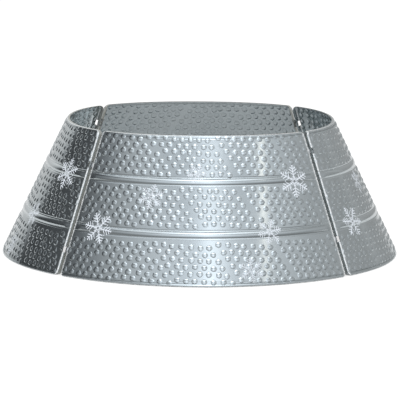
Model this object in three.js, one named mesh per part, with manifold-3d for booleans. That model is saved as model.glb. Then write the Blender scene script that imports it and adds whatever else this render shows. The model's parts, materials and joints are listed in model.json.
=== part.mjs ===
// A round collar that hides the foot of a Christmas tree: four curved sheet
// steel panels that lean inwards, hinged to each other by wire staples and
// sheet hooks. Millimetres, +Z up, origin on the floor at the collar's centre,
// the front panel facing -Y.
import * as THREE from 'three';
import { mergeVertices } from 'three/addons/utils/BufferGeometryUtils.js';
import Module from 'manifold-3d';

// The collar, measured at its seams where the wall's outer face would meet floor
// and top, and how far the middle of each panel stands out from that cone
const baseRadius = 330;
const topRadius = 233.5;
const collarHeight = 226;
const bowAtFloor = 2.5;
const bowAtTop = -10.5;
const panelNames = ['front_panel', 'right_panel', 'back_panel', 'left_panel'];

// The sheet and its folds
const sheetThickness = 0.6;
const foldRadius = 1.8;        // outside of every fold
const footRimDepth = 8;        // flat part of the rim on the floor
const topRimDepth = 3;         // flat part of the top rim
const flangeDepth = 6.5;       // flat part of the side flanges
const cornerRadius = 6;        // where a rim runs into a side flange
const seamGap = 6.4;           // between the flanges of two neighbours

// The two beads pressed into each panel, with their places along the wall
const beadFromFloor = 84.3;
const beadFromTop = 75.5;
const beadWidth = 10.5;
const beadRise = 1.3;
const beadFade = 15;           // length over which a bead dies out at its ends

// The staples, of round wire, fixed through the flanges of front and back
const wireRadius = 1.2;
const wireBend = 1.6;          // to the middle of the wire
const stapleHeight = 11;       // between the middles of its two legs
const clinchLength = 2.4;        // the straight end of a leg, behind the flange
const pinDepth = 4.2;          // of the staple's crown, below the wall's face

// The hooks, of sheet strip, fixed on the flanges of left and right
const hookThickness = 0.8;
const hookHeight = 7;
const hookLeg = 4;
const hookWrap = THREE.MathUtils.degToRad(285);     // round a hinged staple
const openHookWrap = THREE.MathUtils.degToRad(88);  // at the seam that opens

// The notches in the folds of left and right, one in front of each hook
const notchHeight = 9.5;
const notchBelowPin = 0.6;     // how far its edge lies behind the pin's middle

// The two links on each seam, with their places along the wall
const highLinks = { fromTop: 33, fromFloor: 63.5 };
const lowLinks = { fromTop: 58, fromFloor: 44.5 };

const seatClearance = 0.3;     // between pieces that touch
const cutOverrun = 1;

// Counts of facets
const wallColumns = 18;
const beadRows = 4;
const cornerSteps = 3;
const foldSteps = 3;
const wireSides = 8;
const bendSteps = 3;
const curlSteps = 16;
const holeSides = 12;

// The cone that the four panels share
const lean = Math.atan2(baseRadius - topRadius, collarHeight);
const halfPanel = Math.PI / panelNames.length;
const wallLength = collarHeight / Math.cos(lean);
const foldFromSeam = seamGap / 2 + foldRadius;

// The wall ends where the fold's lowest or highest point comes level with the
// floor or with the collar's top
const lowFold = foldRadius * (1 + Math.sin(lean)) / Math.cos(lean);
const highFold = wallLength - foldRadius * (1 - Math.sin(lean)) / Math.cos(lean);

// Directions at an angle round the collar, counted from the middle of the front
const outwards = (angle) => new THREE.Vector3(Math.sin(angle), -Math.cos(angle), 0);
const sideways = (angle) => new THREE.Vector3(Math.cos(angle), Math.sin(angle), 0);
const upTheWall = (angle) =>
  outwards(angle).multiplyScalar(-Math.sin(lean)).setZ(Math.cos(lean));
const offTheWall = (angle) =>
  outwards(angle).multiplyScalar(Math.cos(lean)).setZ(Math.sin(lean));

// The cone's radius at a place along the wall, and the wall's own radius there
const coneRadius = (up) => baseRadius - up * Math.sin(lean);
function wallRadius(angle, up) {
  const middle = (1 + Math.cos(angle * panelNames.length)) / 2;
  return coneRadius(up) + middle * THREE.MathUtils.lerp(bowAtFloor, bowAtTop, up / wallLength);
}

function onTheWall(angle, up, rise = 0) {
  return outwards(angle).multiplyScalar(wallRadius(angle, up)).setZ(up * Math.cos(lean))
    .addScaledVector(offTheWall(angle), rise);
}

// The angle of the wall's points that lie at a distance from the seam's plane
function angleFromSeam(distance, up) {
  return halfPanel - Math.asin(distance / coneRadius(up));
}

const smooth = (share) => {
  const t = THREE.MathUtils.clamp(share, 0, 1);
  return t * t * (3 - 2 * t);
};

// How far the beads lift the wall at a place
const beadPlaces = [beadFromFloor, wallLength - beadFromTop];
function beadLift(up, fromSeam) {
  const ends = smooth((fromSeam - foldFromSeam) / beadFade);
  const across = beadPlaces.map((place) => Math.abs(up - place) / (beadWidth / 2));
  const lift = across.map((share) => Math.max(0, 1 - share * share));
  return beadRise * ends * Math.max(...lift);
}

const even = (from, to, steps) =>
  Array.from({ length: steps + 1 }, (_, i) => THREE.MathUtils.lerp(from, to, i / steps));

// The places of the wall's rows of points: its ends and across each bead
const wallRows = [
  lowFold + cornerRadius,
  ...beadPlaces.flatMap((place) => even(place - beadWidth / 2, place + beadWidth / 2, beadRows)),
  highFold - cornerRadius,
];

// Each row's points, as an angle and a distance from the nearer seam. The two
// columns next to each side keep their distance from it, where a bead dies out.
function wallColumn(up) {
  const near = foldFromSeam + cornerRadius;
  const far = foldFromSeam + beadFade;
  const side = angleFromSeam(near, up);
  const inner = angleFromSeam(far, up);
  return [
    { angle: -side, fromSeam: near },
    ...even(-inner, inner, wallColumns).map((angle) => ({ angle, fromSeam: far })),
    { angle: side, fromSeam: near },
  ];
}

// The line where the wall ends and its folds begin, anticlockwise from outside.
// Each point knows the way out of the wall, the way of its flange, the flange's
// depth and the point of the wall's grid that lies behind it.
function foldLine(lastRow, lastColumn) {
  const line = [];
  const end = (column, top) => {
    const up = top ? highFold : lowFold;
    const { angle, fromSeam } = wallColumn(top ? wallRows[lastRow] : wallRows[0])[column];
    const straight = fromSeam > foldFromSeam + cornerRadius;
    const at = straight ? angle : Math.sign(angle) * angleFromSeam(fromSeam, up);
    line.push({
      point: onTheWall(at, up),
      out: upTheWall(at).multiplyScalar(top ? 1 : -1),
      flange: outwards(at).negate(),
      depth: top ? topRimDepth : footRimDepth,
      row: top ? lastRow : 0,
      column,
    });
  };
  const side = (row, right) => {
    const sign = right ? 1 : -1;
    line.push({
      point: onTheWall(sign * angleFromSeam(foldFromSeam, wallRows[row]), wallRows[row]),
      out: sideways(sign * halfPanel).multiplyScalar(sign),
      flange: offTheWall(sign * halfPanel).negate(),
      depth: flangeDepth,
      row,
      column: right ? lastColumn : 0,
    });
  };
  const corner = (top, right) => {
    const sign = right ? 1 : -1;
    const turnFromRim = top !== right;
    for (let i = 1; i < cornerSteps; i += 1) {
      const share = turnFromRim ? i / cornerSteps : 1 - i / cornerSteps;
      const turn = share * Math.PI / 2;
      const fromSeam = foldFromSeam + cornerRadius * (1 - Math.sin(turn));
      const inward = cornerRadius * (1 - Math.cos(turn));
      const up = top ? highFold - inward : lowFold + inward;
      const at = sign * angleFromSeam(fromSeam, up);
      line.push({
        point: onTheWall(at, up),
        out: upTheWall(at).multiplyScalar((top ? 1 : -1) * Math.cos(turn))
          .addScaledVector(sideways(sign * halfPanel), sign * Math.sin(turn)).normalize(),
        flange: outwards(at).negate()
          .lerp(offTheWall(sign * halfPanel).negate(), share * share).normalize(),
        depth: THREE.MathUtils.lerp(top ? topRimDepth : footRimDepth, flangeDepth, share),
        row: top ? lastRow : 0,
        column: right ? lastColumn : 0,
      });
    }
  };
  for (let i = 0; i <= lastColumn; i += 1) end(i, false);
  corner(false, true);
  for (let j = 0; j <= lastRow; j += 1) side(j, true);
  corner(true, true);
  for (let i = lastColumn; i >= 0; i -= 1) end(i, true);
  corner(true, false);
  for (let j = lastRow; j >= 0; j -= 1) side(j, false);
  corner(false, false);
  return line;
}

// One pressed panel, standing at the front: its outer skin is the wall and the
// folds round it, its inner skin lies one sheet thickness behind
function panelGeometry() {
  const outer = [];
  const inner = [];
  const put = (point, normal) => {
    outer.push(point);
    inner.push(point.clone().addScaledVector(normal, -sheetThickness));
    return outer.length - 1;
  };
  const grid = wallRows.map((up) => wallColumn(up).map(({ angle, fromSeam }) =>
    put(onTheWall(angle, up, beadLift(up, fromSeam)), offTheWall(angle))));
  const lastRow = grid.length - 1;
  const lastColumn = grid[0].length - 1;
  const line = foldLine(lastRow, lastColumn);

  const loops = [line.map(({ row, column }) => grid[row][column])];
  for (let step = 0; step <= foldSteps + 1; step += 1) {
    loops.push(line.map(({ point, out, flange, depth }) => {
      const down = flange.clone().addScaledVector(out, -flange.dot(out)).normalize();
      const turn = flange.angleTo(out) * Math.min(step, foldSteps) / foldSteps;
      const normal = out.clone().multiplyScalar(Math.sin(turn)).addScaledVector(down, -Math.cos(turn));
      const place = point.clone().addScaledVector(down, foldRadius).addScaledVector(normal, foldRadius);
      if (step > foldSteps) place.addScaledVector(flange, depth);
      return put(place, normal);
    }));
  }

  const faces = [];
  const quad = (a, b, c, d) => {
    if (a !== b) faces.push([a, b, c]);
    if (c !== d) faces.push([a, c, d]);
  };
  for (let j = 0; j < lastRow; j += 1) {
    for (let i = 0; i < lastColumn; i += 1) {
      quad(grid[j][i], grid[j][i + 1], grid[j + 1][i + 1], grid[j + 1][i]);
    }
  }
  for (let k = 0; k + 1 < loops.length; k += 1) {
    for (let i = 0; i < line.length; i += 1) {
      const next = (i + 1) % line.length;
      quad(loops[k + 1][i], loops[k + 1][next], loops[k][next], loops[k][i]);
    }
  }
  const edge = loops[loops.length - 1];
  const behind = outer.length;
  const closed = faces.flatMap(([a, b, c]) => [[a, b, c], [c + behind, b + behind, a + behind]]);
  edge.forEach((a, i) => {
    const b = edge[(i + 1) % edge.length];
    closed.push([b, a, a + behind], [b, a + behind, b + behind]);
  });
  return indexed([...outer, ...inner], closed);
}

function indexed(points, faces) {
  const geometry = new THREE.BufferGeometry();
  geometry.setAttribute('position', new THREE.Float32BufferAttribute(
    points.flatMap((point) => point.toArray()), 3));
  geometry.setIndex(faces.flat());
  return geometry;
}

// Cuts
const library = await Module();
library.setup();

function toSolid(geometry) {
  const bare = geometry.clone();
  bare.deleteAttribute('normal');
  bare.deleteAttribute('uv');
  const merged = mergeVertices(bare);
  return new library.Manifold(new library.Mesh({
    numProp: 3,
    vertProperties: merged.attributes.position.array,
    triVerts: Uint32Array.from(merged.index.array),
  }));
}

function cutAway(geometry, cutters) {
  let solid = toSolid(geometry);
  for (const cutter of cutters) solid = solid.subtract(toSolid(cutter));
  const mesh = solid.getMesh();
  const result = new THREE.BufferGeometry();
  result.setAttribute('position', new THREE.BufferAttribute(mesh.vertProperties, 3));
  result.setIndex(new THREE.BufferAttribute(mesh.triVerts, 1));
  return result;
}

// A link's own frame: the origin on the middle of the staple's crown, x across
// the seam towards the panel with the hooks, y off the wall, z along the crown
function linkFrame(seamAngle, towardsHooks, up) {
  const across = sideways(seamAngle).multiplyScalar(towardsHooks);
  const along = upTheWall(seamAngle).multiplyScalar(-towardsHooks);
  const frame = new THREE.Matrix4().makeBasis(across, offTheWall(seamAngle), along);
  return frame.setPosition(onTheWall(seamAngle, up, -pinDepth));
}

// The two holes that a staple's legs pass through
function stapleHoles(frame) {
  const length = sheetThickness + 2 * cutOverrun;
  return [-stapleHeight / 2, stapleHeight / 2].map((z) =>
    new THREE.CylinderGeometry(
      wireRadius + seatClearance, wireRadius + seatClearance, length, holeSides)
      .rotateZ(Math.PI / 2)
      .translate(-(seamGap + sheetThickness) / 2, 0, z)
      .applyMatrix4(frame));
}

// The notch that opens the fold in front of a hook
function hookNotch(frame) {
  const from = seamGap / 2 - cutOverrun;
  const to = foldFromSeam + cutOverrun;
  const low = -notchBelowPin;
  const high = pinDepth + cutOverrun;
  return new THREE.BoxGeometry(to - from, high - low, notchHeight)
    .translate((from + to) / 2, (low + high) / 2, 0)
    .applyMatrix4(frame);
}

// A wire staple: a straight crown, two legs and two ends turned down behind the
// flange. The path is a list of corners, each rounded by the wire's bend.
function stapleGeometry() {
  const behind = -(seamGap / 2 + sheetThickness + seatClearance + wireRadius);
  const half = stapleHeight / 2;
  const low = -(wireBend + clinchLength);
  const corners = [
    new THREE.Vector3(behind, low, half),
    new THREE.Vector3(behind, 0, half),
    new THREE.Vector3(0, 0, half),
    new THREE.Vector3(0, 0, -half),
    new THREE.Vector3(behind, 0, -half),
    new THREE.Vector3(behind, low, -half),
  ];
  const stations = [];
  corners.forEach((corner, i) => {
    if (i === 0 || i === corners.length - 1) {
      const other = corners[i === 0 ? 1 : i - 1];
      const along = other.clone().sub(corner).normalize().multiplyScalar(i === 0 ? 1 : -1);
      stations.push({ point: corner, along });
      return;
    }
    const before = corner.clone().sub(corners[i - 1]).normalize();
    const after = corners[i + 1].clone().sub(corner).normalize();
    const centre = corner.clone().addScaledVector(before, -wireBend).addScaledVector(after, wireBend);
    for (const turn of even(0, Math.PI / 2, bendSteps)) {
      stations.push({
        point: centre.clone()
          .addScaledVector(after, -wireBend * Math.cos(turn))
          .addScaledVector(before, wireBend * Math.sin(turn)),
        along: before.clone().multiplyScalar(Math.cos(turn)).addScaledVector(after, Math.sin(turn)),
      });
    }
  });

  const points = [];
  let across = new THREE.Vector3(1, 0, 0);
  for (const { point, along } of stations) {
    across = across.addScaledVector(along, -across.dot(along)).normalize();
    const beside = along.clone().cross(across);
    for (let k = 0; k < wireSides; k += 1) {
      const turn = 2 * Math.PI * k / wireSides;
      points.push(point.clone()
        .addScaledVector(across, wireRadius * Math.cos(turn))
        .addScaledVector(beside, wireRadius * Math.sin(turn)));
    }
  }
  const faces = [];
  for (let j = 0; j + 1 < stations.length; j += 1) {
    for (let k = 0; k < wireSides; k += 1) {
      const a = j * wireSides + k;
      const b = j * wireSides + (k + 1) % wireSides;
      faces.push([a, b, b + wireSides], [a, b + wireSides, a + wireSides]);
    }
  }
  const last = (stations.length - 1) * wireSides;
  for (let k = 1; k + 1 < wireSides; k += 1) {
    faces.push([0, k + 1, k], [last, last + k, last + k + 1]);
  }
  return indexed(points, faces);
}

// A sheet hook: a leg flat on the flange and a curl round the staple's crown
function hookGeometry(wrap) {
  const middle = seamGap / 2 - seatClearance - hookThickness / 2;
  const steps = Math.ceil(curlSteps * wrap / hookWrap);
  const side = (radius) => [
    new THREE.Vector2(radius, -hookLeg),
    ...even(0, wrap, steps).map((turn) =>
      new THREE.Vector2(radius * Math.cos(turn), radius * Math.sin(turn))),
  ];
  const outline = [...side(middle + hookThickness / 2), ...side(middle - hookThickness / 2).reverse()];
  return new THREE.ExtrudeGeometry(new THREE.Shape(outline), { depth: hookHeight, bevelEnabled: false })
    .translate(0, 0, -hookHeight / 2);
}

const linkPlaces = ({ fromTop, fromFloor }) => [wallLength - fromTop, fromFloor];

// The four seams: where each is, which way its hooks lie, and its links' places
const seams = [
  { name: 'front_right', angle: halfPanel, towardsHooks: 1, links: highLinks, wrap: hookWrap },
  { name: 'back_right', angle: 3 * halfPanel, towardsHooks: -1, links: highLinks, wrap: hookWrap },
  { name: 'back_left', angle: 5 * halfPanel, towardsHooks: 1, links: highLinks, wrap: openHookWrap },
  { name: 'front_left', angle: -halfPanel, towardsHooks: -1, links: lowLinks, wrap: hookWrap },
];

const sheetSteel = () => new THREE.MeshStandardMaterial({ color: 0xa3a8ab, roughness: 0.34, metalness: 0.9 });
const brightWire = () => new THREE.MeshStandardMaterial({ color: 0xc9ccce, roughness: 0.25, metalness: 1 });
const brightStrip = () => new THREE.MeshStandardMaterial({ color: 0xc0c4c6, roughness: 0.28, metalness: 1 });

const collar = new THREE.Group();

panelNames.forEach((name, k) => {
  const turn = k * 2 * halfPanel;
  const carriesStaples = k % 2 === 0;
  const cutters = [];
  for (const { angle, towardsHooks, links } of seams) {
    const side = Math.cos(angle - turn) > 0 ? angle - turn : null;
    if (side === null) continue;
    for (const up of linkPlaces(links)) {
      const frame = linkFrame(side, towardsHooks, up);
      cutters.push(...(carriesStaples ? stapleHoles(frame) : [hookNotch(frame)]));
    }
  }
  const panel = new THREE.Mesh(cutAway(panelGeometry(), cutters), sheetSteel());
  panel.name = name;
  panel.rotation.z = turn;
  collar.add(panel);
});

for (const { name, angle, towardsHooks, links, wrap } of seams) {
  linkPlaces(links).forEach((up, i) => {
    const place = i === 0 ? 'upper' : 'lower';
    const staple = new THREE.Mesh(stapleGeometry(), brightWire());
    staple.name = `${name}_${place}_staple`;
    const hook = new THREE.Mesh(hookGeometry(wrap), brightStrip());
    hook.name = `${name}_${place}_hook`;
    for (const piece of [staple, hook]) {
      piece.applyMatrix4(linkFrame(angle, towardsHooks, up));
      collar.add(piece);
    }
  });
}

export default collar;
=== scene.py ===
import json
import math
from functools import partialmethod

import bmesh
import bpy
from mathutils import Matrix, Vector

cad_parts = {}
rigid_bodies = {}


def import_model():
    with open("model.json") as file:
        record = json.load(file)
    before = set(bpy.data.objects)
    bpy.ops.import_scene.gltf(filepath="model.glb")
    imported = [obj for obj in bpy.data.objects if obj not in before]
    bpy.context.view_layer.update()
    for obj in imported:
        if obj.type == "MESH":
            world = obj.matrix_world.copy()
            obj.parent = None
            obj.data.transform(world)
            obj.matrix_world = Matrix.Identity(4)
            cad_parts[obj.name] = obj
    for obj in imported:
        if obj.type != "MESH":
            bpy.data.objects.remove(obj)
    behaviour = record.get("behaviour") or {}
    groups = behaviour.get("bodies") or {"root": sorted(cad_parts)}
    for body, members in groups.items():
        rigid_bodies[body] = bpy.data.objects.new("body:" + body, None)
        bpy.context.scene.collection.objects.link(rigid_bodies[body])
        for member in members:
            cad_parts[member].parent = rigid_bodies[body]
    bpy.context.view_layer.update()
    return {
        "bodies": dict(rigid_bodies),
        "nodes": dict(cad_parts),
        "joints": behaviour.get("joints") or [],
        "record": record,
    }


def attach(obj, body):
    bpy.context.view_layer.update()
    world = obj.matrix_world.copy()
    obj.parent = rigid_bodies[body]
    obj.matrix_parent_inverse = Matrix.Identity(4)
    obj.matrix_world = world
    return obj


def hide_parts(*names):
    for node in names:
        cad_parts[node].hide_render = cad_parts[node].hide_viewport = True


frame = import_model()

scene = bpy.context.scene


# The studio. A sky that the metal reflects as wide bands of light and grey, one
# soft box and the camera. All other light from the sky stays plain, at a level of
# about 1, so that a colour renders about as it is written.
class Wired:
    """A node's output that takes part in arithmetic and adds the nodes for it."""

    def __init__(self, tree, socket=None):
        self.tree, self.socket = tree, socket

    def add(self, kind, settings=None, values=None, out=0):
        """Adds a node: its settings first, then the values or links of its sockets."""
        node = self.tree.nodes.new(kind)
        for name, value in (settings or {}).items():
            if name == "stops":
                ramp = node.color_ramp.elements
                while len(ramp) < len(value):
                    ramp.new(0.5)
                for element, (place, level) in zip(ramp, value):
                    element.position, element.color = place, (level, level, level, 1)
            else:
                setattr(node, name, value)
        for key, value in (values or {}).items():
            if isinstance(value, Wired):
                self.tree.links.new(value.socket, node.inputs[key])
            else:
                node.inputs[key].default_value = value
        return Wired(self.tree, node.outputs[out])

    def out(self, name):
        """Another output of the same node."""
        return Wired(self.tree, self.socket.node.outputs[name])

    def end(self, kind):
        """Links this output to a new end node of its tree."""
        node = self.tree.nodes.new(kind)
        self.tree.links.new(self.socket, node.inputs[0])

    def fn(self, operation, *others):
        """A step of Math, or of Vector Math where a vector takes part."""
        terms = [self, *others]
        wired = [t for t in terms if isinstance(t, Wired)]
        if any(t.socket.type in ("VECTOR", "RGBA") for t in wired):
            number = operation in ("DOT_PRODUCT", "LENGTH")
            values = {i: (t,) * 3 if isinstance(t, (int, float)) else t
                      for i, t in enumerate(terms)}
            return wired[0].add("ShaderNodeVectorMath", {"operation": operation}, values,
                                1 if number else 0)
        return wired[0].add("ShaderNodeMath", {"operation": operation}, dict(enumerate(terms)))

    __add__ = __radd__ = partialmethod(fn, "ADD")
    __sub__ = partialmethod(fn, "SUBTRACT")
    __mul__ = __rmul__ = partialmethod(fn, "MULTIPLY")
    __truediv__ = partialmethod(fn, "DIVIDE")
    __mod__ = partialmethod(fn, "FLOORED_MODULO")
    __abs__ = partialmethod(fn, "ABSOLUTE")
    sin = partialmethod(fn, "SINE")
    cos = partialmethod(fn, "COSINE")
    least = partialmethod(fn, "MINIMUM")
    most = partialmethod(fn, "MAXIMUM")
    over = partialmethod(fn, "GREATER_THAN")

    def __rsub__(self, other):
        return (self * -1).fn("ADD", other)

    def __rtruediv__(self, other):
        return self.fn("POWER", -1) * other

    def __neg__(self):
        return self * -1

    def clamped(self):
        """This value, held between 0 and 1."""
        return self.most(0).least(1)

    def smooth(self, low, high):
        """0 below low, 1 above high, eased in between."""
        return self.add("ShaderNodeMapRange", {"interpolation_type": "SMOOTHSTEP"},
                        {"Value": self, "From Min": low, "From Max": high})

    def peak(self, centre, reach):
        """1 at the centre, falling evenly to 0 at the reach on both sides."""
        return (1 - abs(self - centre) / reach).clamped()

    def arch(self):
        """1 at 0, falling like a round arch to 0 at 1 and -1."""
        return (1 - self * self).most(0)

    def towards(self, other, share):
        """This value, moved towards another by a share."""
        return self + (other - self) * share


def vector(x, y, z):
    """A vector of three numbers, of which one or more are wired."""
    wired = next(t for t in (x, y, z) if isinstance(t, Wired))
    return wired.add("ShaderNodeCombineXYZ", None, {0: x, 1: y, 2: z})


def parts(of):
    """The three numbers of a vector."""
    split = of.add("ShaderNodeSeparateXYZ", None, {0: of})
    return split, split.out("Y"), split.out("Z")


def mixed(ink, share, a, b):
    """A colour, moved towards another by a share."""
    return ink.add("ShaderNodeMix", {"data_type": "RGBA"}, {0: share, 6: a, 7: b}, out=2)


def graded(way, stops):
    """A level that follows a list of stops along a way from -1 to 1."""
    ramp = way.add("ShaderNodeValToRGB", {"stops": stops}, {0: way * 0.5 + 0.5})
    return way.add("ShaderNodeRGBToBW", None, {0: ramp})


world = bpy.data.worlds.new("studio")
scene.world = world
world.use_nodes = True
world.node_tree.nodes.clear()
sky = Wired(world.node_tree)
east, north, rise = parts(sky.add("ShaderNodeTexCoord", out="Generated"))
# how far round from the camera's side a ray looks, and how steeply: -1 to 1
round_about = east.fn("ARCTAN2", north * -1) / math.pi
steepness = rise.most(-1).least(1).fn("ARCSINE") * (2 / math.pi)
level_round = graded(round_about, [
    (0.000, 0.74), (0.085, 0.78), (0.112, 0.58), (0.134, 0.08), (0.240, 0.10), (0.300, 0.30),
    (0.333, 0.42), (0.392, 0.60), (0.446, 0.86), (0.490, 1.14), (0.513, 1.46), (0.535, 1.10),
    (0.580, 0.73), (0.644, 0.63), (0.714, 0.47), (0.780, 0.40), (0.836, 0.39), (0.856, 0.50),
    (0.876, 0.40), (0.940, 0.42), (1.000, 0.50)])
level_up = graded(steepness, [
    (0.00, 0.30), (0.47, 0.34), (0.53, 0.50), (0.60, 0.82), (0.66, 1.00), (0.716, 1.03),
    (0.738, 0.52), (0.762, 0.52), (0.80, 1.60), (0.88, 2.10), (0.93, 0.80), (0.97, 0.50),
    (1.00, 0.50)])
left_side, right_side = (-round_about).smooth(0.25, 0.45), round_about.smooth(0.30, 0.50)
far_left = (-round_about).smooth(0.72, 0.80)
rays = sky.add("ShaderNodeLightPath")
reflected = rays.out("Is Glossy Ray")
# a warm lamp to the right, a glow in front and a pale wall high on the left
warm = round_about.peak(0.248, 0.020) * steepness.peak(0.416, 0.030) * reflected
glow = round_about.peak(0.045, 0.075) * steepness.peak(0.455, 0.035)
pale_wall = left_side * steepness.smooth(0.50, 0.60) * (1 - steepness.smooth(0.78, 0.90))
contrast, plain_level = 1.15, 0.92
warm_strength, glow_strength, wall_strength = 2.4, 0.8, 0.5
# the right and the far left are lit more evenly from floor to ceiling
evenly = (right_side * 0.65).most(far_left * 0.45)
level = level_round * contrast * level_up.towards(1, evenly)
level = level + warm * warm_strength + glow * glow_strength + pale_wall * wall_strength
strength = plain_level + (level - plain_level) * reflected
strength = strength.towards(1, rays.out("Is Camera Ray"))
cool_share = round_about.peak(0, 0.625).most(left_side * (1 - far_left) * 0.8) * reflected
tint = mixed(sky, cool_share, (1, 1, 1, 1), (0.96, 1.0, 1.06, 1))
tint = mixed(sky, warm, tint, (1.08, 0.98, 0.84, 1))
shining = sky.add("ShaderNodeBackground", None, {"Color": tint, "Strength": strength})
shining.end("ShaderNodeOutputWorld")

scene.view_settings.view_transform = "Standard"

lamp = bpy.data.lights.new("key_light", "AREA")
lamp.shape, lamp.size, lamp.size_y, lamp.energy = "RECTANGLE", 1.6, 1.2, 22
key_light = bpy.data.objects.new("key_light", lamp)
light_from, light_to = Vector((-0.9, -2.2, 2.6)), Vector((0, 0, 0.1))
key_light.location = light_from
key_light.rotation_euler = (light_to - light_from).to_track_quat("-Z", "Y").to_euler()
key_light.visible_glossy = False
scene.collection.objects.link(key_light)

camera_turn, camera_dip, camera_roll = (math.radians(a) for a in (-1.495, 9.10, 0.45))
camera_distance, camera_height = 4.70, 0.8393
camera = bpy.data.objects.new("camera", bpy.data.cameras.new("camera"))
camera.data.lens, camera.data.sensor_width, camera.data.clip_end = 254.65, 36, 200
camera.location = (camera_distance * math.sin(camera_turn),
                   -camera_distance * math.cos(camera_turn), camera_height)
camera.rotation_euler = (Matrix.Rotation(camera_turn, 3, "Z")
                         @ Matrix.Rotation(math.pi / 2 - camera_dip, 3, "X")
                         @ Matrix.Rotation(camera_roll, 3, "Z")).to_euler()
scene.collection.objects.link(camera)
scene.camera = camera


# The floor. A plain pale sweep that the camera sees white, with only the faint
# shadow of the collar on it. The metal sees a painted shade in front of the collar.
floor_reach, floor_drop = 40, 0.0003
floor_mesh = bpy.data.meshes.new("floor")
floor_mesh.from_pydata([(x * floor_reach, y * floor_reach, -floor_drop)
                        for x, y in ((-1, -1), (1, -1), (1, 1), (-1, 1))], [], [(0, 1, 2, 3)])
floor_mesh.update()
floor = bpy.data.objects.new("floor", floor_mesh)
scene.collection.objects.link(floor)
pale = bpy.data.materials.new("pale_floor")
pale.use_nodes = True
pale.node_tree.nodes.clear()
paint = Wired(pale.node_tree)
rays = paint.add("ShaderNodeLightPath")
reflected = rays.out("Is Glossy Ray")
floor_place = paint.add("ShaderNodeTexCoord", out="Object")
to_right, to_back, _ = parts(floor_place)
from_middle = floor_place.fn("LENGTH")
in_front = (to_back * -1 / from_middle).smooth(0.10, 0.55)
# painted shade: to reflections only, a dark grey band on the floor in front of the collar
painted_shade = from_middle.smooth(0.30, 0.36) * in_front * reflected
pale_grey, painted_shade_grey = (0.80, 0.80, 0.80, 1), (0.26, 0.26, 0.26, 1)
matt = mixed(paint, painted_shade, pale_grey, painted_shade_grey)
matt = paint.add("ShaderNodeBsdfDiffuse", None, {"Color": matt})
white = paint.add("ShaderNodeEmission", None, {"Color": (1, 1, 1, 1), "Strength": 1.12})
# inside the ring less of the white is seen, and a painted glow at the back right
# is there for the inside of the left panel to reflect
past_ring = from_middle.smooth(0.318, 0.332)
white_inside, white_outside, painted_glow_share = 0.55, 0.86, 0.70
white_share = (past_ring * (white_outside - white_inside) + white_inside) * rays.out("Is Camera Ray")
# painted light: a glowing patch on the floor, seen only in reflections
painted_glow = to_right.smooth(0.03, 0.06) * to_back.smooth(0.24, 0.275) * (1 - past_ring) * reflected
both = paint.add("ShaderNodeMixShader", None, {0: white_share + painted_glow * painted_glow_share, 1: matt, 2: white})
both.end("ShaderNodeOutputMaterial")
floor.data.materials.append(pale)


# The four panels. Each is one sheet of galvanised steel, hammered with small
# bumps, pressed with two beads, folded in on all four sides and printed with
# snowflakes. Its wall is a quarter of a cone, flatter at its top, fuller at its foot.
sheet = {
    "Base radius": 0.330, "Top radius": 0.2335, "Height": 0.226, "Half angle": math.pi / 4,
    "Bow at floor": 0.00244, "Bow at top": -0.0105,
    "Fold radius": 0.0018, "Foot rim depth": 0.008, "Top rim depth": 0.003,
    "Flange depth": 0.0065, "Corner radius": 0.006, "Seam gap": 0.0064,
    "Crease depth": 0.0004, "Fold ripple": 0.0006,
    "Bead from floor": 0.0843, "Bead from top": 0.0755, "Bead width": 0.0105,
    "Bead rise": 0.0013, "Bead fade": 0.015,
    "Bump radius": 0.0048, "Bump spread": 0.0003, "Bump clearance": 0.0002, "Bump height": 0.00115,
    "Column pitch": 0.0144, "Row pitch": 0.01125, "Jitter": 0.0010,
    "Group shift": 0.0014, "Group tilt": 0.0030,
    "Row over fold": 0.0069, "Row over low bead": 0.0150, "Row over high bead": 0.0136,
    "Wear and highlight rings": 2.0, "Wear and highlight right": 0.0, "Flange wear": 1.0, "Turn": 0.0,
}
sheet_thickness = 0.0006
# the columns and rows of the grid that becomes the sheet, and the rings round it
wall_columns, wall_rows, row_step = 280, 142, 0.0016
wall_rings, fold_rings, flange_rings = 4, 4, 2
# the columns, rows and groups of the bumps
dot_columns, rows_in_band, dot_rows = 45, 6, 18
group_slant, columns_in_group, group_phase = 0.6, 3.6, 2.4

lean = math.atan2(sheet["Base radius"] - sheet["Top radius"], sheet["Height"])
wall_length = sheet["Height"] / math.cos(lean)


def new_tree(name, numbers, whole=()):
    """A geometry tree with named inputs, and those inputs."""
    tree = bpy.data.node_groups.new(name, "GeometryNodeTree")
    for key, value in numbers.items():
        socket = tree.interface.new_socket(key, in_out="INPUT", socket_type="NodeSocketFloat")
        socket.default_value = value
    for key in whole:
        tree.interface.new_socket(key, in_out="INPUT", socket_type="NodeSocketInt")
    tree.interface.new_socket("Material", in_out="INPUT", socket_type="NodeSocketMaterial")
    tree.interface.new_socket("Geometry", in_out="OUTPUT", socket_type="NodeSocketGeometry")
    start = Wired(tree).add("NodeGroupInput")
    return Wired(tree), {s.name: start.out(s.name) for s in start.socket.node.outputs if s.name}


def close_tree(work, given, geometry):
    """Ends a tree with plain geometry in its material."""
    real = work.add("GeometryNodeRealizeInstances", None, {"Geometry": geometry})
    dressed = work.add("GeometryNodeSetMaterial", None,
                       {"Geometry": real, "Material": given["Material"]})
    dressed.end("NodeGroupOutput")
    return work.tree


def shaped_by(tree, name, values):
    """An object that gets its shape from a tree with these inputs."""
    piece = bpy.data.objects.new(name, bpy.data.meshes.new(name))
    scene.collection.objects.link(piece)
    shape = piece.modifiers.new("shape", "NODES")
    shape.node_group = tree
    for item in tree.interface.items_tree:
        if item.in_out == "INPUT" and item.name in values:
            shape[item.identifier] = values[item.name]
    return piece


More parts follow.
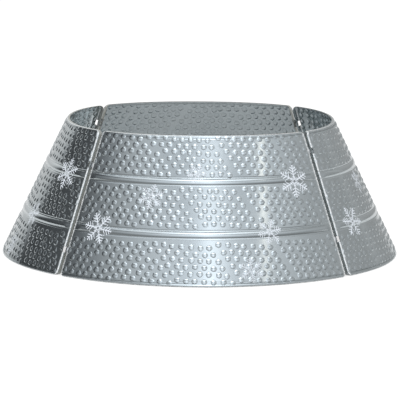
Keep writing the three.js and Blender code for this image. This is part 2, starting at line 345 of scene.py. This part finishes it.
def made_plain(piece):
    """The same object with the mesh that its modifiers make, and no modifiers."""
    graph = bpy.context.evaluated_depsgraph_get()
    mesh = bpy.data.meshes.new_from_object(piece.evaluated_get(graph),
                                           preserve_all_data_layers=True, depsgraph=graph)
    piece.modifiers.clear()
    empty, piece.data = piece.data, mesh
    bpy.data.meshes.remove(empty)
    mesh.name = piece.name
    return piece


work, given = new_tree("pressed_panel", sheet, ["Seed"])
position = work.add("GeometryNodeInputPosition")
base, top, half = given["Base radius"], given["Top radius"], given["Half angle"]
fold, corner = given["Fold radius"], given["Corner radius"]
slope = ((base - top) / given["Height"]).fn("ARCTANGENT")
length = given["Height"] / slope.cos()
from_seam = given["Seam gap"] / 2 + fold
low_fold = fold * (1 + slope.sin()) / slope.cos()
high_fold = length - fold * (1 - slope.sin()) / slope.cos()
beads = [given["Bead from floor"], length - given["Bead from top"]]


def cone_radius(up):
    """The cone's radius at a distance up its side."""
    return base - up * slope.sin()


def outwards(angle):
    """The level way out from the axis, at an angle from the middle of the panel."""
    return vector(angle.sin(), -angle.cos(), 0)


def on_the_wall(angle, up):
    """A place on the wall: the cone, with its middle bowed out or in."""
    middle = ((angle / half * math.pi).cos() + 1) / 2
    bow = middle * given["Bow at floor"].towards(given["Bow at top"], up / length)
    return outwards(angle) * (cone_radius(up) + bow) + vector(0, 0, up * slope.cos())


def number_grid(columns, rows):
    """A grid of points one unit apart, with its middle at 0."""
    return work.add("GeometryNodeMeshGrid", None, {
        "Size X": columns - 1, "Size Y": rows - 1, "Vertices X": columns, "Vertices Y": rows})


# the sheet starts as a grid of whole numbers: a middle part that is the wall,
# and rings round it that round the corners, turn the folds and make the flanges
rings = wall_rings + fold_rings + flange_rings
grid = number_grid(wall_columns + 2 * rings + 1, wall_rows + 2 * rings + 1)
across, upward, _ = parts(position)
side, end_sign = across.fn("SIGN"), upward.fn("SIGN")
ring_x = (abs(across) - wall_columns / 2).most(0)
ring_y = (abs(upward) - wall_rows / 2).most(0)
ring = ring_x.most(ring_y)
near = ring_x.least(ring_y) / ring.most(0.5) * (math.pi / 4)
bend = near.towards(math.pi / 2 - near, ring_y.over(ring_x))
inset = (ring / wall_rings).least(1) * corner
share_across = (across / (wall_columns / 2)).most(-1).least(1)
share_up = (upward / (wall_rows / 2)).most(-1).least(1) * 0.5 + 0.5
up = (low_fold + corner).towards(high_fold - corner, share_up)
# the rows nearest to the edges of the beads move onto them
for place in [b + given["Bead width"] * k for b in beads for k in (-0.5, 0.5)]:
    gap = place - up
    up = up + gap * (row_step / 2 - abs(gap)).over(0)
up = up + end_sign * inset * bend.sin()
radius = cone_radius(up)
at_seam = ((from_seam + corner - inset * bend.cos()) / radius).fn("ARCSINE")
angle = share_across * (half - at_seam)
face = outwards(angle) * slope.cos() + vector(0, 0, slope.sin())
rising = vector(0, 0, slope.cos()) - outwards(angle) * slope.sin()
spot = on_the_wall(angle, up)

# the folds: each point of the outline turns from its way out of the wall to
# the way of its flange
seam_side = vector(side * half.cos(), half.sin(), 0)
seam_face = vector(side * half.sin(), -half.cos(), 0) * slope.cos() + vector(0, 0, slope.sin())
leaving = (seam_side * bend.cos() + rising * (end_sign * bend.sin())).fn("NORMALIZE")
flange_share = 1 - bend * (2 / math.pi)
flange_way = (outwards(angle) * -1).towards(seam_face * -1, flange_share * flange_share)
flange_way = flange_way.fn("NORMALIZE")
turned = flange_way.fn("DOT_PRODUCT", leaving)
inwards = (flange_way - leaving * turned).fn("NORMALIZE")
turn = turned.fn("ARCCOSINE") * ((ring - wall_rings) / fold_rings).clamped()
depth = given["Foot rim depth"].towards(given["Top rim depth"], end_sign * 0.5 + 0.5)
depth = depth.towards(given["Flange depth"], flange_share)
depth = depth * ((ring - wall_rings - fold_rings) / flange_rings).clamped()
folded = (inwards + leaving * turn.sin() - inwards * turn.cos()) * fold + flange_way * depth


def stored(geometry, name, value, kind="FLOAT", domain="POINT"):
    """The geometry with a value stored on it under a name."""
    return work.add("GeometryNodeStoreNamedAttribute", {"data_type": kind, "domain": domain},
                    {"Geometry": geometry, "Name": name, "Value": value})


# the middles of the hammered bumps, in three bands of rows between the beads and
# the rims, and in slanting groups that lie a little higher, lower or to the side
dots = number_grid(dot_columns, dot_rows)
column, row, _ = parts(position)
row = row + (dot_rows - 1) / 2
column = column + (row.fn("ROUND") % 2) * 0.5
band = (row / rows_in_band + 0.01).fn("FLOOR")
in_group = (column + row * group_slant) / columns_in_group
group = in_group.fn("FLOOR")
chance = work.add("FunctionNodeRandomValue", {"data_type": "FLOAT_VECTOR"}, {
    "Min": (-1, -1, -1), "Max": (1, 1, 1), "Seed": given["Seed"]})
luck_up, luck_along, _ = parts(chance)
first, second, third = (low_fold + given["Row over fold"], beads[0] + given["Row over low bead"],
                        beads[1] + given["Row over high bead"])
dot_up = first + (second - first) * band.least(1) + (third - second) * (band - 1).most(0)
dot_up = dot_up + (row - band * rows_in_band) * given["Row pitch"] + luck_up * given["Jitter"]
dot_up = dot_up + given["Group shift"] * ((group % 2) * 2 - 1)
dot_up = dot_up - (in_group - group - 0.5) * given["Group tilt"]
along = column * given["Column pitch"] + luck_along * given["Jitter"]
along = along + given["Group shift"] * (group * group_phase).sin()
dot_angle = along / cone_radius(dot_up)
dots = stored(dots, "dot_place", vector(dot_angle, dot_up, 0), "FLOAT_VECTOR")
dots = work.add("GeometryNodeSetPosition", None, {
    "Geometry": dots, "Position": on_the_wall(dot_angle, dot_up)})
dot_east, dot_north, _ = parts(position)
past_seam = abs(dot_east.fn("ARCTAN2", dot_north * -1)).over(half - from_seam / base)
dots = work.add("GeometryNodeDeleteGeometry", {"domain": "POINT"}, {
    "Geometry": dots, "Selection": past_seam})

# no bump reaches its nearest neighbour
neighbour = work.add("GeometryNodeFieldAtIndex", {"data_type": "FLOAT_VECTOR", "domain": "POINT"}, {
    "Value": position, "Index": work.add("GeometryNodeIndexOfNearest")})
room = (position - neighbour).fn("LENGTH") / 2 - given["Bump clearance"]
spread = work.add("FunctionNodeRandomValue", {"data_type": "FLOAT"}, {
    2: -1.0, 3: 1.0, "Seed": given["Seed"]}, out=1)
dot_radius = (given["Bump radius"] + given["Bump spread"] * spread).least(room)
dot_place = work.add("GeometryNodeInputNamedAttribute", {"data_type": "FLOAT_VECTOR"}, {
    "Name": "dot_place"})

nearest = work.add("GeometryNodeSampleNearest", {"domain": "POINT"}, {
    "Geometry": dots, "Sample Position": spot})


def of_nearest(value, kind="FLOAT_VECTOR"):
    """A value of the bump that is nearest to each point of the sheet."""
    return work.add("GeometryNodeSampleIndex", {"data_type": kind, "domain": "POINT"},
                    {"Geometry": dots, "Value": value, "Index": nearest})


# each point of the sheet takes its height from the nearest bump, and points close
# to a bump's foot move onto it, so that the foot is round
foot_catch = row_step * 0.46
bump_radius = of_nearest(dot_radius, "FLOAT")
bump_angle, bump_up, _ = parts(of_nearest(dot_place))
offset = spot - of_nearest(position)
distance = offset.fn("LENGTH")
to_foot = bump_radius - distance
to_foot = to_foot * (foot_catch - abs(to_foot)).over(0)
settled = spot + offset / distance.most(0.0001) * to_foot
part_way = (distance + to_foot) / bump_radius
on_wall = 1 - (ring - wall_rings + 1).clamped()
full = on_wall * (up - low_fold).least(high_fold - up).smooth(0.0005, 0.0025)
dome = part_way.arch() * full

# a shallow crease runs along each rim, and the side folds are dented a little
# where the rows of bumps meet them
rim_share = (bend - math.pi / 4).smooth(0, 0.5)
crease = ring.peak(wall_rings / 2, 1) * rim_share
dents_up, dents_round, even_share, uneven_share, undented = 140, 3, 0.35, 1.2, 0.1
uneven = work.add("ShaderNodeTexNoise", {"noise_dimensions": "1D"}, {
    "W": up * dents_up + angle * dents_round + given["Seed"], "Scale": 1.0, "Detail": 1.0})
even = (up / given["Row pitch"] * (4 * math.pi)).sin()
ripple = (even * even_share + uneven * uneven_share - undented).clamped()
on_fold = ring.peak(wall_rings + 1.5, 3) * (1 - rim_share)

# the two beads, which die out near the seams
to_seam = radius * (half - abs(angle)).sin() - from_seam
low_bead, high_bead = (((up - place) / (given["Bead width"] / 2)).arch() for place in beads)
bead = low_bead.most(high_bead) * (to_seam / given["Bead fade"]).smooth(0, 1)
unpressed = settled.towards(spot, 1 - on_wall) + folded - face * (crease * given["Crease depth"])
unpressed = unpressed - (leaving + face) * (ripple * on_fold * given["Fold ripple"])
pressed = unpressed + face * (dome * given["Bump height"] + bead * given["Bead rise"])
unpressed, pressed = (work.add("ShaderNodeVectorRotate", {"rotation_type": "Z_AXIS"},
                               {"Vector": p, "Angle": given["Turn"]}) for p in (unpressed, pressed))

# what the material draws on: each point's place on the sheet, its nearest bump,
# how much it is worn and painted bright, and the way the sheet faced before it was pressed
panel = work.add("GeometryNodeSetPosition", None, {"Geometry": grid, "Position": unpressed})
plain_face = work.add("GeometryNodeSampleIndex", {"data_type": "FLOAT_VECTOR", "domain": "POINT"}, {
    "Geometry": panel, "Value": work.add("GeometryNodeInputNormal"),
    "Index": work.add("GeometryNodeInputIndex")})
flange = (ring - wall_rings - fold_rings + 0.5).clamped() * given["Flange wear"]
# the wear and its painted highlight are widest on the side folds, and further round and fainter on the
# rims
wear_and_highlight_width = (given["Wear and highlight rings"] + side.most(0) * given["Wear and highlight right"]).towards(1.2, rim_share)
worn = ring.peak(rim_share * 0.8 + (wall_rings + 1.2), wear_and_highlight_width) * (1 - rim_share * 0.4)
panel = stored(grid, "place", vector(angle, up, 0), "FLOAT_VECTOR")
panel = stored(panel, "plain_face", plain_face, "FLOAT_VECTOR")
for name, value in (("full", full), ("crease", crease), ("flange", flange), ("worn", worn)):
    panel = stored(panel, name, value)
panel = stored(panel, "bump", vector(bump_angle, bump_up, bump_radius), "FLOAT_VECTOR", "FACE")
panel = work.add("GeometryNodeSetPosition", None, {"Geometry": panel, "Position": pressed})
panel = work.add("GeometryNodeSetShadeSmooth", None, {"Geometry": panel})
panel_tree = close_tree(work, given, panel)

# the snowflakes printed on each panel: angle, place up the wall, radius, turn
# and how much of the print has stayed
flakes = [
    (-34.7, 0.0862, 0.0255, -8, 1.0), (-18.1, 0.1442, 0.0200, 20, 0.85),
    (-2.7, 0.1823, 0.0155, 5, 0.85), (33.4, 0.1660, 0.0260, 25, 1.0),
    (20.6, 0.0868, 0.0200, 12, 0.95), (13.4, 0.0265, 0.0195, 33, 0.75),
]
# a flake's line widths and places as shares of its radius, and its branches' slant
line_edge = 0.016
stem_width, stem_end = 0.030, 0.98
branch_width, branch_slant, branch_pitch, branch_start = 0.026, math.radians(58), 0.19, 0.20
dot_size, dot_at = 0.035, 0.66
ray_width, ray_end = 0.022, 0.25


def principled(name, build, *choices):
    """A material: build gets the tree's wrapper and returns the shader's sockets."""
    material = bpy.data.materials.new(name)
    material.use_nodes = True
    material.node_tree.nodes.clear()
    ink = Wired(material.node_tree)
    shader = ink.add("ShaderNodeBsdfPrincipled", None, build(ink, *choices))
    shader.end("ShaderNodeOutputMaterial")
    return material


def attribute(ink, name, out="Fac"):
    """A value that is stored on the mesh."""
    return ink.add("ShaderNodeAttribute", {"attribute_name": name}, out=out)


def snowflake(ink, angle, up, wall_radius):
    """How much print there is at a place: the nearest flake, drawn by its arms."""
    chosen, nearest = None, None
    for degrees, height, size, turn, stays in flakes:
        x = (angle - math.radians(degrees)) * wall_radius / size
        y = (up - height) / size
        local = ink.add("ShaderNodeVectorRotate", {"rotation_type": "Z_AXIS"}, {
            "Vector": vector(x, y, stays), "Angle": math.radians(-turn)})
        away = (x * x + y * y).fn("SQRT")
        if chosen is None:
            chosen, nearest = local, away
        else:
            closer = nearest.over(away)
            chosen = ink.add("ShaderNodeMix", {"data_type": "VECTOR"},
                             {0: closer, 4: chosen, 5: local}, out=1)
            nearest = nearest.least(away)
    x, y, stays = parts(chosen)
    sector = math.pi / 3
    turned = (y.fn("ARCTAN2", x) + sector / 2) % sector - sector / 2
    along, aside = nearest * turned.cos(), abs(nearest * turned.sin())

    def inked(inside):
        return inside.smooth(-line_edge, line_edge)

    stem = inked(stem_width - aside) * inked(stem_end - along) * nearest.smooth(0.04, 0.12)
    # the branches leave the stem at a slant, and are longest in the flake's middle
    root = along - aside / math.tan(branch_slant)
    branch_length = ((root - 0.10) * 0.75).least((1.06 - root) * 0.70).least(0.27)
    from_line = abs((root + 0.06) % branch_pitch - branch_pitch / 2) * 0.85
    branch = inked(branch_width - from_line) * inked(branch_length - aside) * root.over(branch_start)
    # between two arms there are a dot and a short ray
    from_ray, past_dot = nearest * (abs(turned) - sector / 2), nearest - dot_at
    dot = inked(dot_size - (past_dot * past_dot + from_ray * from_ray).fn("SQRT"))
    ray = inked(ray_width - abs(from_ray)) * inked(ray_end - nearest) * nearest.smooth(0.06, 0.12)
    return stem.most(branch).most(dot).most(ray) * stays


# the bump foot and crease tones are painted shade; the worn tone is wear with a painted highlight
tones = {
    "dark zinc": (0.565, 0.625, 0.645, 1), "light zinc": (0.615, 0.67, 0.69, 1),
    "spangle": (0.66, 0.71, 0.725, 1), "painted foot shade": (0.30, 0.34, 0.36, 1),
    "flange": (0.52, 0.53, 0.50, 1), "crease": (0.20, 0.23, 0.24, 1),
    "worn": (0.95, 0.97, 0.98, 1), "print": (0.86, 0.92, 1.00, 1),
}
# the shapes that the material draws: a share of the bumps' height with a rounder
# side, a groove beside each bead, and a slight flare at the foot
dome_share, dome_power, foot_reach = 0.80, 2.3, 1 / 7
groove_place, groove_reach, groove_depth = 0.0011, 0.0018, 0.0005
flare_height, flare_depth, grain_depth = 0.011, 0.0007, 0.000008
sheet_rough, worn_rough, print_rough = 0.15, 0.50, 0.55


def sheet_steel(ink, printed):
    """One skin of the sheet: clouded zinc, worn at the folds with a painted highlight, with or without
    print.
    """
    at = ink.add("ShaderNodeTexCoord", out="Object")
    grain = ink.add("ShaderNodeTexNoise", None, {"Vector": at, "Scale": 900.0, "Detail": 2.0})
    cloud = ink.add("ShaderNodeTexNoise", None, {"Vector": at, "Scale": 14.0, "Detail": 3.0})
    chips = ink.add("ShaderNodeTexNoise", None, {"Vector": at, "Scale": 420.0, "Detail": 3.0})
    spangle = ink.add("ShaderNodeTexVoronoi", None, {"Vector": at, "Scale": 160.0}, out="Color")
    spangle = ink.add("ShaderNodeRGBToBW", None, {0: spangle})
    full, worn, flange, crease = (attribute(ink, n) for n in ("full", "worn", "flange", "crease"))
    # painted highlight: the worn folds are broken into near-white glints
    worn = (worn * 1.6).least(1) * (chips.smooth(0.44, 0.54) * 0.60 + 0.40)
    angle, up, _ = parts(attribute(ink, "place", "Vector"))
    bump_angle, bump_up, bump_radius = parts(attribute(ink, "bump", "Vector"))
    wall_radius = sheet["Base radius"] - up * math.sin(lean)

    aside, above = (angle - bump_angle) * wall_radius, up - bump_up
    part_way = (aside * aside + above * above).fn("SQRT") / bump_radius
    dome = (1 - part_way.fn("POWER", dome_power)).most(0) * full * dome_share
    # a ring at each bump's foot, where painted shade darkens the colour
    foot = part_way.peak(1, foot_reach) * full
    half_bead = sheet["Bead width"] / 2
    from_bead = abs(up - sheet["Bead from floor"])
    from_bead = from_bead.least(abs(up - wall_length + sheet["Bead from top"]))
    to_seam = (sheet["Half angle"] - abs(angle)) * wall_radius
    ends = (to_seam - sheet["Seam gap"] / 2 - sheet["Fold radius"]) / sheet["Bead fade"]
    bead = (from_bead / half_bead).arch() * ends.smooth(0, 1)
    groove = ((from_bead - half_bead - groove_place) / groove_reach).arch()
    flare = (1 - up / flare_height).most(0)
    relief = dome * sheet["Bump height"] + bead * sheet["Bead rise"] - groove * groove_depth
    relief = relief + flare * flare * flare_depth

    colour = mixed(ink, (cloud - 0.5) * 1.2 + 0.5, tones["dark zinc"], tones["light zinc"])
    colour = mixed(ink, spangle * 0.20, colour, tones["spangle"])
    # painted shade: a dark ring round each bump's foot, stronger on the inner skin
    colour = mixed(ink, foot * (0.10 if printed else 0.35), colour, tones["painted foot shade"])
    colour = mixed(ink, flange, colour, tones["flange"])
    # painted shade: the creases along the rims are darkened
    colour = mixed(ink, crease * 0.6, colour, tones["crease"])
    # wear with a painted highlight: the folds turn near white and less metallic
    colour = mixed(ink, worn, colour, tones["worn"])
    rough = sheet_rough + (grain - 0.5) * 0.03 + (spangle - 0.5) * 0.03 + (cloud - 0.5) * 0.08
    rough = rough.towards(worn_rough, worn.most(flange))
    metal = 1 - (worn * 0.9).most(flange * 0.5)
    if printed:
        mask = snowflake(ink, angle, up, wall_radius) * (chips.smooth(0.30, 0.48) * 0.25 + 0.75)
        colour = mixed(ink, mask, colour, tones["print"])
        rough = rough.towards(print_rough, mask)
        metal = metal * (1 - mask)

    # the relief stands on the plain sheet, and is turned over on its inner face
    outer = 1 if printed else -1
    plain = ink.add("ShaderNodeVectorTransform", {
        "vector_type": "NORMAL", "convert_from": "OBJECT", "convert_to": "WORLD"},
        {0: attribute(ink, "plain_face", "Vector") * outer})
    normal = ink.add("ShaderNodeBump", None, {
        "Strength": 1.0, "Distance": 1.0, "Height": (grain - 0.5) * grain_depth + relief * outer,
        "Normal": plain})
    return {"Base Color": colour, "Metallic": metal, "Roughness": rough, "Normal": normal}


skins = [principled("printed_sheet", sheet_steel, True), principled("bare_sheet", sheet_steel, False)]

# each seam: its angle, the side on which the hooks are, how far up the wall its
# upper and lower links are, and the panels that carry the staples and the hooks
upper_link, lower_link = wall_length - 0.033, 0.0635
left_upper_link, left_lower_link = wall_length - 0.058, 0.0445
seams = {
    "front_right": (math.pi / 4, 1, (upper_link, lower_link), "front", "right"),
    "back_right": (math.pi * 3 / 4, -1, (upper_link, lower_link), "back", "right"),
    "back_left": (math.pi * 5 / 4, 1, (upper_link, lower_link), "back", "left"),
    "front_left": (-math.pi / 4, -1, (left_upper_link, left_lower_link), "front", "left"),
}
pin_depth, half_staple = 0.0042, 0.0055
hole_radius, hole_depth, hole_aside = 0.0015, 0.0026, -0.0035
notch_size, notch_place = (0.0038, 0.0106, 0.0095), (0.0041, 0.0047, 0)


def link_frame(angle, hooks, up):
    """A link's frame: x across the seam to the hook, y off the wall, z along the crown."""
    out = Vector((math.sin(angle), -math.cos(angle), 0))
    off = out * math.cos(lean) + Vector((0, 0, math.sin(lean)))
    rise = Vector((0, 0, math.cos(lean))) - out * math.sin(lean)
    across = Vector((math.cos(angle), math.sin(angle), 0)) * hooks
    origin = out * (sheet["Base radius"] - up * math.sin(lean)) + Vector((0, 0, up * math.cos(lean)))
    origin -= off * pin_depth
    frame = Matrix((across, off, rise * -hooks)).transposed().to_4x4()
    frame.translation = origin
    return frame


def cutters_for(body):
    """One mesh with the holes for a panel's staples, or the notches for its hooks."""
    tools = bmesh.new()
    for angle, hooks, places, with_staples, with_hooks in seams.values():
        for up in places:
            frame = link_frame(angle, hooks, up)
            if body == with_staples:
                for z in (-half_staple, half_staple):
                    place = frame @ Matrix.Translation((hole_aside, 0, z))
                    bmesh.ops.create_cone(
                        tools, cap_ends=True, segments=20, radius1=hole_radius, radius2=hole_radius,
                        depth=hole_depth, matrix=place @ Matrix.Rotation(math.pi / 2, 4, "Y"))
            elif body == with_hooks:
                place = frame @ Matrix.Translation(notch_place)
                bmesh.ops.create_cube(tools, size=1, matrix=place @ Matrix.Diagonal((*notch_size, 1)))
    mesh = bpy.data.meshes.new("cutters")
    tools.to_mesh(mesh)
    tools.free()
    piece = bpy.data.objects.new("cutters", mesh)
    scene.collection.objects.link(piece)
    return piece


def thicken_and_cut(piece, cutters):
    """Adds the modifiers that make a solid of the sheet and cut its holes or notches."""
    wall = piece.modifiers.new("thickness", "SOLIDIFY")
    wall.thickness, wall.offset = sheet_thickness, -1
    cut = piece.modifiers.new("cuts", "BOOLEAN")
    cut.operation, cut.solver, cut.object = "DIFFERENCE", "MANIFOLD", cutters


# the front and back panels are worn and painted bright further from their folds, the
# front one most on its right, and the right panel's flanges have stayed bright
wear = {"front": {"Wear and highlight rings": 3.2, "Wear and highlight right": 0.8}, "right": {"Flange wear": 0.2},
        "back": {"Wear and highlight rings": 3.2}, "left": {}}
for k, body in enumerate(wear):
    name = body + "_panel"
    piece = shaped_by(panel_tree, name + "_sheet", {
        "Turn": k * math.pi / 2, "Seed": 11 + k, "Material": skins[0], **wear[body]})
    cutters = cutters_for(body)
    thicken_and_cut(piece, cutters)
    made_plain(piece)
    bpy.data.objects.remove(cutters)
    piece.data.materials.clear()
    for skin in skins:
        piece.data.materials.append(skin)
    plain_face = piece.data.attributes["plain_face"].data
    for polygon in piece.data.polygons:
        way = plain_face[polygon.vertices[0]].vector
        polygon.material_index = int(polygon.normal.dot(way) < 0)
    piece.data.set_sharp_from_angle(angle=math.radians(55))
    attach(piece, body)
    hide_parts(name)


# The staples. Each is a length of bright steel wire bent twice at a right angle.
# Its legs go through two holes in the side flange of the front or back panel,
# and its ends are turned down behind the flange.
wire = {"Wire radius": 0.0012, "Bend": 0.0016, "Half height": half_staple, "Leg": 0.0051,
        "Clinch": 0.0040}
work, given = new_tree("wire_staple", wire)
line = work.add("GeometryNodeMeshLine", None, {"Count": 6})
number = work.add("GeometryNodeInputIndex")
from_crown = abs(number - 2.5)
corners = vector(from_crown.over(1) * given["Leg"] * -1, from_crown.over(2) * given["Clinch"] * -1,
                 (2.5 - number).fn("SIGN") * given["Half height"])
line = work.add("GeometryNodeSetPosition", None, {"Geometry": line, "Position": corners})
path = work.add("GeometryNodeMeshToCurve", None, {"Mesh": line})
path = work.add("GeometryNodeFilletCurve", {"mode": "POLY"}, {
    "Curve": path, "Count": 6, "Radius": given["Bend"], "Limit Radius": True})
rod = work.add("GeometryNodeCurvePrimitiveCircle", None, {
    "Resolution": 16, "Radius": given["Wire radius"]})
rod = work.add("GeometryNodeCurveToMesh", None, {
    "Curve": path, "Profile Curve": rod, "Fill Caps": True})
staple_tree = close_tree(work, given, rod)


def bright_steel(ink, grain_scale, cloud_scale, dark, light, rough):
    """Plain drawn or rolled steel: two greys in small clouds, and a fine grain."""
    at = ink.add("ShaderNodeTexCoord", out="Object")
    grain = ink.add("ShaderNodeTexNoise", None, {"Vector": at, "Scale": grain_scale, "Detail": 2.0})
    cloud = ink.add("ShaderNodeTexNoise", None, {"Vector": at, "Scale": cloud_scale})
    colour = mixed(ink, (cloud - 0.5) * 2 + 0.5, dark, light)
    normal = ink.add("ShaderNodeBump", None, {"Strength": 0.15, "Distance": 0.0002, "Height": grain})
    return {"Base Color": colour, "Metallic": 1.0, "Roughness": rough + (grain - 0.5) * 0.12,
            "Normal": normal}


def placed(pattern, name, frame, body, slot):
    """A copy of a pattern at its link, standing for the CAD node of that name."""
    mesh = pattern.data.copy()
    mesh.transform(frame)
    mesh.name = name
    mesh.set_sharp_from_angle(angle=math.radians(40))
    piece = bpy.data.objects.new(name + "_" + slot.split("_")[1], mesh)
    scene.collection.objects.link(piece)
    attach(piece, body)
    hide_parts(name)


bright_wire = principled("bright_wire", bright_steel, 1800.0, 260.0,
                         (0.36, 0.38, 0.39, 1), (0.50, 0.52, 0.53, 1), 0.22)
pattern = made_plain(shaped_by(staple_tree, "staple_pattern", {"Material": bright_wire}))
for seam, (angle, hooks, places, with_staples, _) in seams.items():
    for which, up in zip(("upper", "lower"), places):
        placed(pattern, f"{seam}_{which}_staple", link_frame(angle, hooks, up),
               with_staples, "staple_wire")
bpy.data.objects.remove(pattern)


# The hooks. Each is a short strip of bright steel, welded by its leg to the side
# flange of the right or left panel and curled round the staple beside it. At the
# back left seam, where the ring opens, the curl stays half open.
full_wrap, open_wrap = math.radians(285), math.radians(88)
strip = {"Thickness": 0.0008, "Strip width": 0.0070, "Leg": 0.0040, "Curl radius": 0.0025,
         "Edge radius": 0.00022, "Wrap": full_wrap}
work, given = new_tree("sheet_hook", strip)
curl_steps = 28
line = work.add("GeometryNodeMeshLine", None, {"Count": curl_steps + 2})
number = work.add("GeometryNodeInputIndex")
swing = (number - 1).most(0) / curl_steps * given["Wrap"]
leg = (0.5 - number).over(0) * given["Leg"]
bow = vector(swing.cos() * given["Curl radius"], swing.sin() * given["Curl radius"] - leg, 0)
line = work.add("GeometryNodeSetPosition", None, {"Geometry": line, "Position": bow})
path = work.add("GeometryNodeMeshToCurve", None, {"Mesh": line})
path = work.add("GeometryNodeSetCurveNormal", {"mode": "Z_UP"}, {"Curve": path})
flat = work.add("GeometryNodeCurvePrimitiveQuadrilateral", None, {
    "Width": given["Thickness"], "Height": given["Strip width"]})
flat = work.add("GeometryNodeFilletCurve", {"mode": "POLY"}, {
    "Curve": flat, "Count": 3, "Radius": given["Edge radius"], "Limit Radius": True})
rolled = work.add("GeometryNodeCurveToMesh", None, {
    "Curve": path, "Profile Curve": flat, "Fill Caps": True})
hook_tree = close_tree(work, given, rolled)

bright_strip = principled("bright_strip", bright_steel, 1500.0, 220.0,
                          (0.34, 0.36, 0.37, 1), (0.48, 0.50, 0.51, 1), 0.26)
for opens in (False, True):
    pattern = made_plain(shaped_by(hook_tree, "hook_pattern", {
        "Material": bright_strip, "Wrap": open_wrap if opens else full_wrap}))
    for seam, (angle, hooks, places, _, with_hooks) in seams.items():
        if (seam == "back_left") == opens:
            for which, up in zip(("upper", "lower"), places):
                placed(pattern, f"{seam}_{which}_hook", link_frame(angle, hooks, up),
                       with_hooks, "hook_strip")
    bpy.data.objects.remove(pattern)
